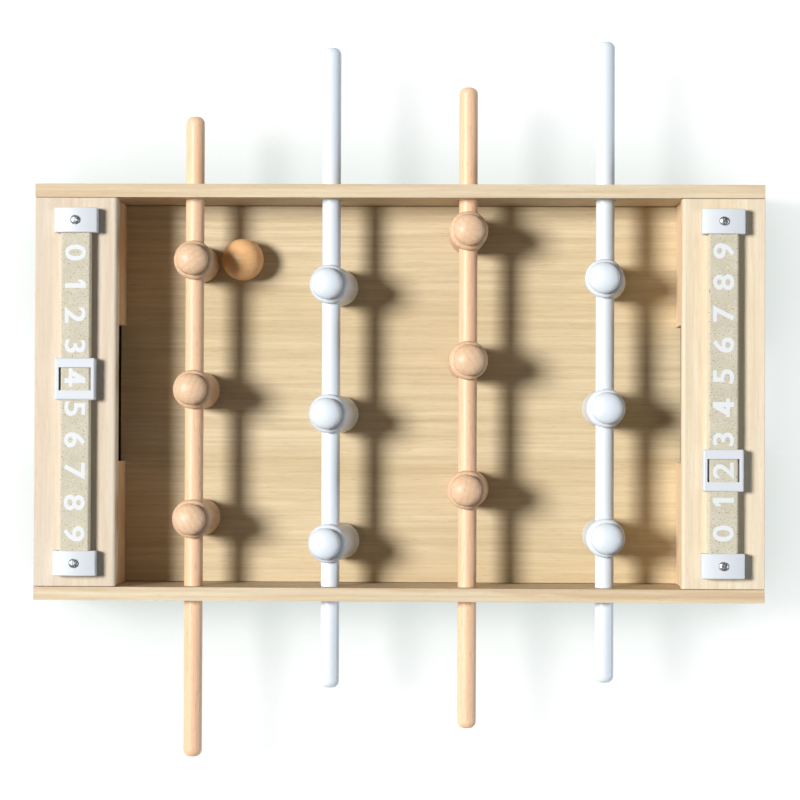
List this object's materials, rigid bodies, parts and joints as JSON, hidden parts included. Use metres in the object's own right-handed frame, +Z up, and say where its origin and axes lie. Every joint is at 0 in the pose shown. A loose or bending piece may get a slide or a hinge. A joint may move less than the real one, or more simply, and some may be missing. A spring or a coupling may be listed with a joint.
{
  "type": "tabletop foosball game",
  "caption": "Wooden tabletop foosball box with sliding, turning rods of peg players, end goals, a ball and sliding score counters.",
  "frame": {"origin": "on the ground, under the middle of the whole game's box, rods included; the wooden box stands 3.9 mm towards +Y from it", "axes": "+X along the pitch from the left goal to the right goal, +Y towards the back side panel, +Z up"},
  "size_m": [0.49, 0.4854, 0.1078],
  "materials": {
    "pale_wood": "sanded, clear matt",
    "pitch_wood": "sanded board, clear matt",
    "dark_board": "dark stained board, matt",
    "beech": "smooth, clear satin",
    "white_paint": "white satin paint",
    "white_plastic": "moulded, satin gloss",
    "bar_board": "speckled grey-beige board with white numbers",
    "ball_wood": "smooth, satin",
    "steel": "plated screw",
    "rubber": "matt"
  },
  "bodies": {
    "table": {"back_side_panel": "pale_wood", "front_side_panel": "pale_wood", "pitch_board": "pitch_wood", "left_end_panel": "pale_wood", "left_goal_wall": "pale_wood", "left_ball_tray": "dark_board", "left_tray_riser": "dark_board", "left_score_deck": "pale_wood", "left_score_bar": "bar_board", "left_back_foot_pad": "rubber", "left_back_clamp": "white_plastic", "left_back_clamp_screw": "steel", "left_front_foot_pad": "rubber", "left_front_clamp": "white_plastic", "left_front_clamp_screw": "steel", "right_end_panel": "pale_wood", "right_goal_wall": "pale_wood", "right_ball_tray": "dark_board", "right_tray_riser": "dark_board", "right_score_deck": "pale_wood", "right_score_bar": "bar_board", "right_back_foot_pad": "rubber", "right_back_clamp": "white_plastic", "right_back_clamp_screw": "steel", "right_front_foot_pad": "rubber", "right_front_clamp": "white_plastic", "right_front_clamp_screw": "steel"},
    "rod_1_dowel": {"rod_1": "beech"},
    "rod_1_players": {"rod_1_player_1": "beech", "rod_1_player_2": "beech", "rod_1_player_3": "beech"},
    "rod_2_dowel": {"rod_2": "white_paint"},
    "rod_2_players": {"rod_2_player_1": "white_paint", "rod_2_player_2": "white_paint", "rod_2_player_3": "white_paint"},
    "rod_3_dowel": {"rod_3": "beech"},
    "rod_3_players": {"rod_3_player_1": "beech", "rod_3_player_2": "beech", "rod_3_player_3": "beech"},
    "rod_4_dowel": {"rod_4": "white_paint"},
    "rod_4_players": {"rod_4_player_1": "white_paint", "rod_4_player_2": "white_paint", "rod_4_player_3": "white_paint"},
    "left_slider": {"left_score_slider": "white_plastic"},
    "right_slider": {"right_score_slider": "white_plastic"},
    "ball": {"ball": "ball_wood"}
  },
  "joints": [
    {"name": "rod_1_slide", "type": "slide", "parent": "table", "child": "rod_1_dowel", "axis": [0, 1, 0], "range_m": [-0.0319, 0.0279]},
    {"name": "rod_1_spin", "type": "hinge", "parent": "rod_1_dowel", "child": "rod_1_players", "pos_m": [-0.1392, 0.0059, 0.075], "axis": [0, 1, 0], "range_deg": [-3, 262]},
    {"name": "rod_2_slide", "type": "slide", "parent": "table", "child": "rod_2_dowel", "axis": [0, 1, 0], "range_m": [-0.0158, 0.044]},
    {"name": "rod_2_spin", "type": "hinge", "parent": "rod_2_dowel", "child": "rod_2_players", "pos_m": [-0.0464, -0.0102, 0.075], "axis": [0, 1, 0], "continuous": true},
    {"name": "rod_3_slide", "type": "slide", "parent": "table", "child": "rod_3_dowel", "axis": [0, 1, 0], "range_m": [-0.0521, 0.0077]},
    {"name": "rod_3_spin", "type": "hinge", "parent": "rod_3_dowel", "child": "rod_3_players", "pos_m": [0.0464, 0.0261, 0.075], "axis": [0, 1, 0], "continuous": true},
    {"name": "rod_4_slide", "type": "slide", "parent": "table", "child": "rod_4_dowel", "axis": [0, 1, 0], "range_m": [-0.0201, 0.0397]},
    {"name": "rod_4_spin", "type": "hinge", "parent": "rod_4_dowel", "child": "rod_4_players", "pos_m": [0.1392, -0.0059, 0.075], "axis": [0, 1, 0], "continuous": true},
    {"name": "left_score_slide", "type": "slide", "parent": "table", "child": "left_slider", "axis": [0, 1, 0], "range_m": [-0.10035, 0.08365]},
    {"name": "right_score_slide", "type": "slide", "parent": "table", "child": "right_slider", "axis": [0, 1, 0], "range_m": [-0.04085, 0.14315]},
    {"name": "ball_lift", "type": "slide", "parent": "table", "child": "ball", "axis": [0, 0, 1], "range_m": [0, 0.1]}
  ]
}
